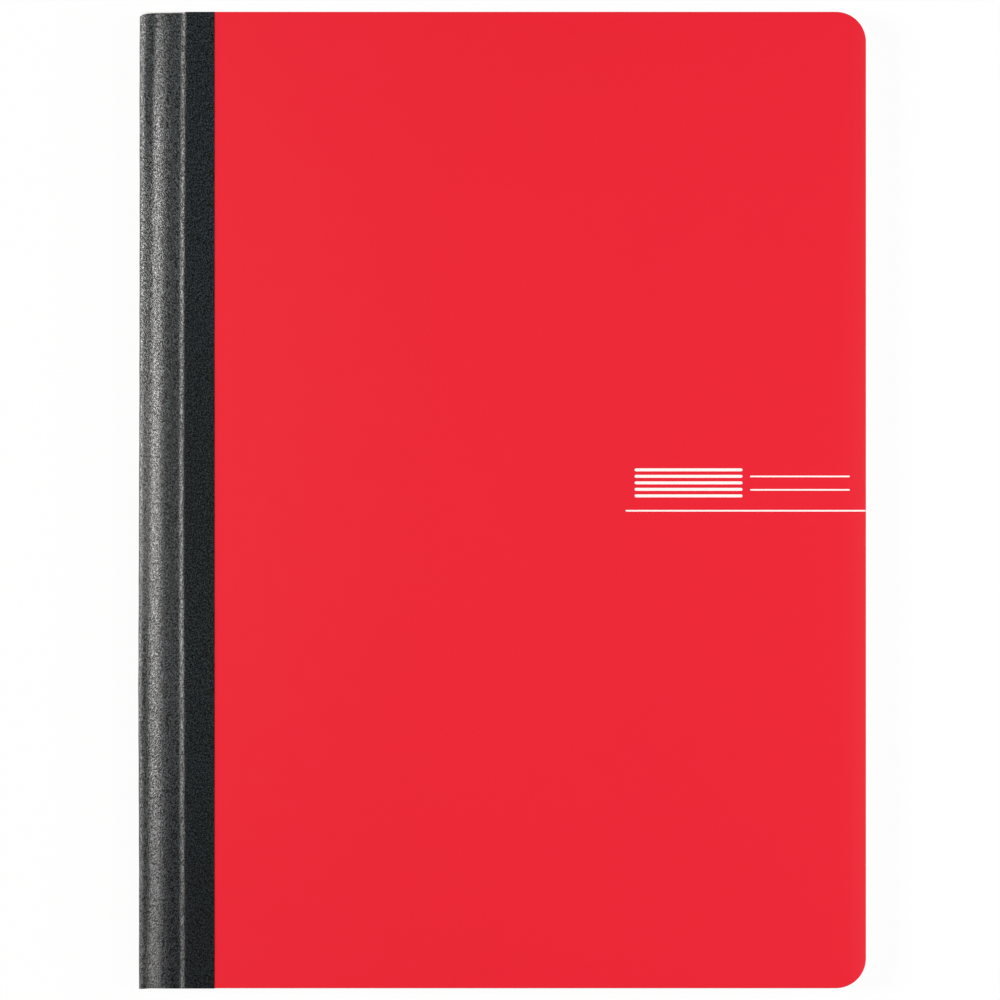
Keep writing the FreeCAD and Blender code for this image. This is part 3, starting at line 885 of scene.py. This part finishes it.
def section_curve(tree, distance):
    """Half thickness of the block at a distance from its spine, as a share of the full half thickness."""
    along = tree.sum("DIVIDE", distance, SECTION_SPAN, clamp=True)
    node = tree.add("ShaderNodeFloatCurve", {"Value": along})
    curve = node.mapping.curves[0]
    for number, u in enumerate(SECTION_PLACES):
        height = float(tape_height(np.array([u * MM + tape_thickness + ROLL_RADIUS]), 0.0)[0])
        share = min((height - tape_thickness) / block_half, 1.0)
        if number == 0:
            curve.points[0].location = (0, share)
        else:
            curve.points.new((u * MM + ROLL_RADIUS) / SECTION_SPAN, share)
    curve.points[len(curve.points) - 1].location = (1, 1)
    node.mapping.update()
    return node.outputs[0]


print(len(SECTION_PLACES) + 1, "points in the curve")

# %% [markdown]
# The rule reads: copy the flat sheet, number the copies, move each fold in by the sheets that lie outside
# it, and lift each leaf to its share of the section. Near the fold a round cap brings the leaf down to the
# middle. Small seeded shifts keep the trimmed edges from looking machined.

# %% The rule for one folded sheet
SHEET_FILL = 0.84
LEAF_GAP = 0.02 * MM
FOLD_ROUND = 1.5 * MM
STRAY = 0.1 * MM
STRAY_SEED = 11


def build_sheet_tree():
    lengths = ("Width", "Half thickness", "Fold depth", "Fold round", "Stray")
    kinds = dict.fromkeys(lengths, "NodeSocketFloat") | dict.fromkeys(("Sheets", "Seed"), "NodeSocketInt")
    tree = Tree("nested_sheets", kinds)
    sizes = tree.inputs
    line = tree.add("GeometryNodeMeshLine", {"Count": sizes["Sheets"], "Offset": (0, 0, 0)})
    number = tree.add("GeometryNodeInputIndex").outputs[0]
    inputs = {"Geometry": line.outputs[0], "Name": "sheet", "Value": number}
    store = tree.add("GeometryNodeStoreNamedAttribute", inputs, data_type="FLOAT", domain="POINT")
    inputs = {"Points": store.outputs[0], "Instance": sizes["Geometry"]}
    copies = tree.add("GeometryNodeInstanceOnPoints", inputs)
    whole = tree.add("GeometryNodeRealizeInstances", {0: copies.outputs[0]}).outputs[0]
    position = tree.add("GeometryNodeInputPosition").outputs[0]
    flat = tree.add("ShaderNodeSeparateXYZ", {0: position}).outputs
    sheet = tree.add("GeometryNodeInputNamedAttribute", {"Name": "sheet"}, data_type="FLOAT").outputs[0]
    leaf_side = tree.sum("SIGN", flat["X"])
    reach = tree.sum("ABSOLUTE", flat["X"])
    face = tree.sum("MULTIPLY_ADD", flat["Z"], SHEET_FILL, 0.5)
    share = tree.sum("DIVIDE", tree.sum("ADD", sheet, face), sizes["Sheets"])
    fold = tree.sum("MULTIPLY", tree.sum("SUBTRACT", 1.0, share), sizes["Fold depth"])
    squeeze = tree.sum("SUBTRACT", 1.0, tree.sum("DIVIDE", fold, sizes["Width"]))
    distance = tree.sum("MULTIPLY_ADD", reach, squeeze, fold)
    to_fold = tree.sum("SUBTRACT", 1.0, tree.sum("DIVIDE", reach, sizes["Fold round"]), clamp=True)
    cap = tree.sum("SQRT", tree.sum("SUBTRACT", 1.0, tree.sum("MULTIPLY", to_fold, to_fold)))
    level = tree.sum("MULTIPLY", tree.sum("MULTIPLY", share, section_curve(tree, distance)), cap)
    height = tree.sum("MULTIPLY", tree.sum("MULTIPLY", level, leaf_side), sizes["Half thickness"])
    ends = tree.sum("DIVIDE", reach, sizes["Width"])
    stray_x = tree.sum("MULTIPLY", random_stray(tree, sheet, 0), ends)
    stray_y = random_stray(tree, sheet, 100)
    x = tree.sum("ADD", tree.sum("ADD", distance, BLOCK_LOW.x), stray_x)
    y = tree.sum("ADD", flat["Y"], stray_y)
    z = tree.sum("ADD", height, MIDDLE)
    place_at = tree.add("ShaderNodeCombineXYZ", {0: x, 1: y, 2: z}).outputs[0]
    bent = tree.add("GeometryNodeSetPosition", {"Geometry": whole, "Position": place_at}).outputs[0]
    tree.finish(bent, page_finish)
    return tree


def random_stray(tree, sheet, offset):
    """A small shift for each sheet: never outwards, so that no leaf stands past the trim."""
    seed = tree.sum("ADD", tree.inputs["Seed"], offset)
    node = tree.add("FunctionNodeRandomValue", {"ID": sheet, "Seed": seed}, data_type="FLOAT")
    stray = next(s for s in node.outputs if s.enabled)
    return tree.sum("MULTIPLY", tree.sum("MULTIPLY", stray, tree.inputs["Stray"]), -1.0)


values = {"Sheets": SHEETS, "Width": block_width, "Half thickness": block_half - LEAF_GAP}
values |= {"Fold depth": block_half, "Fold round": FOLD_ROUND, "Stray": STRAY, "Seed": STRAY_SEED}
page_block = run_tree(page_block, build_sheet_tree(), values)
print("page block:", len(page_block.data.polygons), "faces")

# %% [markdown]
# Each end leaf is one sheet of paper, half on the block and half pasted to the board. Here the strip beside
# the fold and the pasted half are one thin mesh, which runs across the hinge. Its columns are close together
# there.

# %% Build the end leaves
LEAF_TUCK = 1.1 * MM
LEAF_COLUMN = 0.12 * MM
HINGE_SPREAD = 2.6 * MM


def leaf_sections():
    """x of each column and the trim there: close at the hinge, then straight, then round the corner."""
    start = BOARD_LOW.x - LEAF_TUCK
    bend = np.arange(start, BOARD_LOW.x + HINGE_SPREAD, LEAF_COLUMN)
    straight = np.linspace(BOARD_LOW.x + HINGE_SPREAD, FORE_EDGE - corner_radius, 12)
    columns = [(x, 0.0) for x in np.concatenate([bend, straight])]
    return columns + corner_columns(FORE_EDGE, 16)[1:]


def make_end_leaf(name, inner, outer):
    columns = leaf_sections()
    points = []
    for height in (inner, outer):
        points += [(x, TAIL + cut, height) for x, cut in columns]
        points += [(x, HEAD - cut, height) for x, cut in columns]
    return add_mesh(name, points, slab_faces(len(columns)), [end_leaf_finish])


front_leaf = make_end_leaf("front_end_leaf", LEAF_LOW.z, LEAF_HIGH.z)
back_leaf = make_end_leaf("back_end_leaf", mirror - LEAF_LOW.z, mirror - LEAF_HIGH.z)
print("end leaves:", len(front_leaf.data.polygons), "faces each")

# %% [markdown]
# The thread is two twisted plies of cotton. It follows a path, so Geometry Nodes make it. The path is the
# model's running stitch.

# %% Thread finish and path
def make_thread_finish():
    material, shader = new_material("cotton_thread", Roughness=0.8, Specular_IOR_Level=0.2)
    tree = material.node_tree
    fuzz = noise(tree, place(tree), 0.12 * MM, 3.0)
    colour = blend_colours(tree, fuzz, (0.72, 0.71, 0.67), (0.86, 0.85, 0.82))
    tree.links.new(colour, shader.inputs["Base Color"])
    roughen(material, shader, fuzz, 0.03 * MM)
    return material


thread_finish = make_thread_finish()
thread_radius = (THREAD_HIGH.z - THREAD_LOW.z) / 2


def stitch_path():
    """Corners of the running stitch, from tail to head, in the middle of the thread."""
    outside, inside = THREAD_LOW.x + thread_radius, THREAD_HIGH.x - thread_radius
    corners = [(inside, TAIL)]
    for low, high in stitches:
        corners += [(inside, low + thread_radius), (outside, low + thread_radius)]
        corners += [(outside, high - thread_radius), (inside, high - thread_radius)]
    return corners + [(inside, HEAD)]


def make_stitch_curve():
    data = bpy.data.curves.new("stitch_path", "CURVE")
    data.dimensions = "3D"
    spline = data.splines.new("POLY")
    corners = stitch_path()
    spline.points.add(len(corners) - 1)
    for point, (x, y) in zip(spline.points, corners):
        point.co = (x, y, MIDDLE, 1)
    return add_object("sewing_thread_plies", data)


print(len(stitch_path()), "corners in the running stitch")

# %% [markdown]
# The tree rounds the path's corners, cuts it into short steps and turns an arm round it as it goes. Each
# ply is the path moved out along that arm, the second one half a turn later, and a circle is swept along
# each.

# %% Twist two plies along the path
PLY_PITCH = 1.6 * MM
STEPS_IN_A_TURN = 6
CORNER_ROUND = 1.2
PLY_RADIUS = 0.5
PLY_OFFSET = 0.48


def build_thread_tree():
    tree = Tree("twisted_thread", {"Radius": "NodeSocketFloat", "Pitch": "NodeSocketFloat"})
    sizes = tree.inputs
    corner = tree.sum("MULTIPLY", sizes["Radius"], CORNER_ROUND)
    inputs = {"Curve": sizes["Geometry"], "Radius": corner, "Count": 3}
    rounded = tree.add("GeometryNodeFilletCurve", inputs, mode="POLY").outputs[0]
    step = tree.sum("DIVIDE", sizes["Pitch"], STEPS_IN_A_TURN)
    dense = tree.add("GeometryNodeResampleCurve", {"Curve": rounded, "Length": step}, mode="LENGTH")
    along = tree.add("GeometryNodeSplineParameter").outputs["Length"]
    turn = tree.sum("MULTIPLY", tree.sum("DIVIDE", along, sizes["Pitch"]), 2 * math.pi)
    normal = tree.add("GeometryNodeInputNormal").outputs[0]
    tangent = tree.add("GeometryNodeInputTangent").outputs[0]
    plies = tree.add("GeometryNodeJoinGeometry")
    ply_radius = tree.sum("MULTIPLY", sizes["Radius"], PLY_RADIUS)
    inputs = {"Resolution": 6, "Radius": ply_radius}
    profile = tree.add("GeometryNodeCurvePrimitiveCircle", inputs).outputs[0]
    offset = tree.sum("MULTIPLY", sizes["Radius"], PLY_OFFSET)
    for start in (0.0, math.pi):
        inputs = {"Vector": normal, "Axis": tangent, "Angle": tree.sum("ADD", turn, start)}
        arm = tree.add("ShaderNodeVectorRotate", inputs, rotation_type="AXIS_ANGLE").outputs[0]
        shift = tree.add("ShaderNodeVectorMath", {0: arm, "Scale": offset}, operation="SCALE").outputs[0]
        inputs = {"Geometry": dense.outputs[0], "Offset": shift}
        ply = tree.add("GeometryNodeSetPosition", inputs).outputs[0]
        inputs = {"Curve": ply, "Profile Curve": profile, "Fill Caps": True}
        swept = tree.add("GeometryNodeCurveToMesh", inputs)
        tree.group.links.new(swept.outputs[0], plies.inputs[0])
    tree.finish(plies.outputs[0], thread_finish)
    return tree


thread = run_tree(make_stitch_curve(), build_thread_tree(), {"Radius": thread_radius, "Pitch": PLY_PITCH})
print("thread:", len(thread.data.polygons), "faces")

# %% [markdown]
# Now the boards, the print, the block and the thread are each tied to a body of the model, and every piece
# stands for the solids that it replaces. Boards and print swing with their covers. The tape and the end
# leaves cross the hinges. They are tied to no body and are not bent: their placement is only baked into
# their meshes.

# %% Tie the pieces to the bodies
TAPE_BEND = (-0.5 * MM, 0.9 * MM)
LEAF_BEND = (-0.9 * MM, 1.6 * MM)


def bend_over_hinge(piece):
    """Bakes the piece's placement into its mesh; it does not bend the piece."""
    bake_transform(piece)


for piece, cover, bend, nodes, slot in (
    (tape_front, "front_cover", TAPE_BEND, ("spine_tape", "front_tape_wing"), "tape_black"),
    (tape_back, "back_cover", TAPE_BEND, ("spine_tape", "back_tape_wing"), "tape_black"),
    (front_leaf, "front_cover", LEAF_BEND, ("front_pastedown",), "page_paper"),
    (back_leaf, "back_cover", LEAF_BEND, ("back_pastedown",), "page_paper"),
):
    bend_over_hinge(piece)
    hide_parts(*nodes)

for piece, body, node, slot in (
    (front_board, "front_cover", "front_board", "cover_red"),
    (cover_print, "front_cover", "cover_print", "print_white"),
    (back_board, "back_cover", "back_board", "cover_red"),
    (page_block, "block", "page_block", "page_paper"),
    (thread, "block", "sewing_thread", "thread_white"),
):
    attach(piece, body)
    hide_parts(node)

# %% [markdown]
# The book lies on a plain white floor. The photograph's background is pure white, so the camera and
# mirrored rays see almost a white glow, and a share of paint keeps the book's soft shadow. All other rays
# meet plain white paint.

# %% Floor
FLOOR_HALF = 6.0
FLOOR_GLOW = 0.94
FLOOR_PAINT = (0.96, 0.96, 0.96, 1)


def shown_background(tree):
    """1 for rays from the camera, mirrored rays and rays through glass."""
    path = add_node(tree, "ShaderNodeLightPath").outputs
    seen = math_node(tree, "MAXIMUM", path["Is Camera Ray"], path["Is Glossy Ray"])
    return math_node(tree, "MAXIMUM", seen, path["Is Transmission Ray"])


def make_floor():
    material = bpy.data.materials.new("floor_white")
    material.use_nodes = True
    tree = material.node_tree
    tree.nodes.remove(tree.nodes["Principled BSDF"])
    paint = add_node(tree, "ShaderNodeBsdfDiffuse", {"Color": FLOOR_PAINT}).outputs[0]
    glow = add_node(tree, "ShaderNodeEmission", {"Color": (1, 1, 1, 1), "Strength": 1.0}).outputs[0]
    share = math_node(tree, "MULTIPLY", shown_background(tree), FLOOR_GLOW)
    mixed = add_node(tree, "ShaderNodeMixShader", {0: share, 1: paint, 2: glow}).outputs[0]
    tree.links.new(mixed, tree.nodes["Material Output"].inputs["Surface"])
    corners = [(-1, -1), (1, -1), (1, 1), (-1, 1)]
    points = [(x * FLOOR_HALF, y * FLOOR_HALF, FLOOR) for x, y in corners]
    floor = add_mesh("floor", points, [(0, 1, 2, 3)], [material])


make_floor()
print("floor laid")

# %% [markdown]
# The light is soft and comes mostly from the left, low enough that only slopes facing left throw it up to
# the camera: flat cloth stays dark and the shoulder of the spine shines. A weaker lamp from the right evens
# the red. Together with the world they light a level surface at about one, so colours render as they are
# written.

# %% Lamps
def add_lamp(name, place_at, size, power, colour):
    """A rectangular lamp that faces the book's middle and that the camera does not see."""
    data = bpy.data.lights.new(name, "AREA")
    data.shape = "RECTANGLE"
    data.size, data.size_y = size
    data.energy = power
    data.color = colour
    lamp = add_object(name, data)
    lamp.location = place_at
    lamp.rotation_euler = (-Vector(place_at)).to_track_quat("-Z", "Y").to_euler()
    lamp.visible_camera = False
    print(f"{name}: {power} W")


add_lamp("key_left", (-1.425, 0.1, 1.43), size=(0.5, 0.7), power=29.1, colour=(1.0, 0.97, 0.94))
add_lamp("fill_right", (0.6, -0.05, 0.5), size=(0.6, 0.6), power=3.5, colour=(0.96, 0.98, 1.0))

# %% [markdown]
# The world stands for the studio: white walls low down, which only steep slopes mirror up to the camera,
# and a dim ceiling, which level cloth mirrors and so stays dark.

# %% World
WORLD_LEVEL = 0.18
WALLS_END = 0.05
CEILING_START = 0.35


def make_world():
    world = bpy.data.worlds.new("studio")
    world.use_nodes = True
    tree = world.node_tree
    background = tree.nodes["Background"]
    background.inputs["Color"].default_value = (1, 1, 1, 1)
    direction = add_node(tree, "ShaderNodeTexCoord").outputs["Generated"]
    upwards = add_node(tree, "ShaderNodeSeparateXYZ", {0: direction}).outputs["Z"]
    level = remap(tree, upwards, WALLS_END, CEILING_START, 1.0, WORLD_LEVEL)
    tree.links.new(level, background.inputs["Strength"])
    bpy.context.scene.world = world


make_world()
print("studio lit")
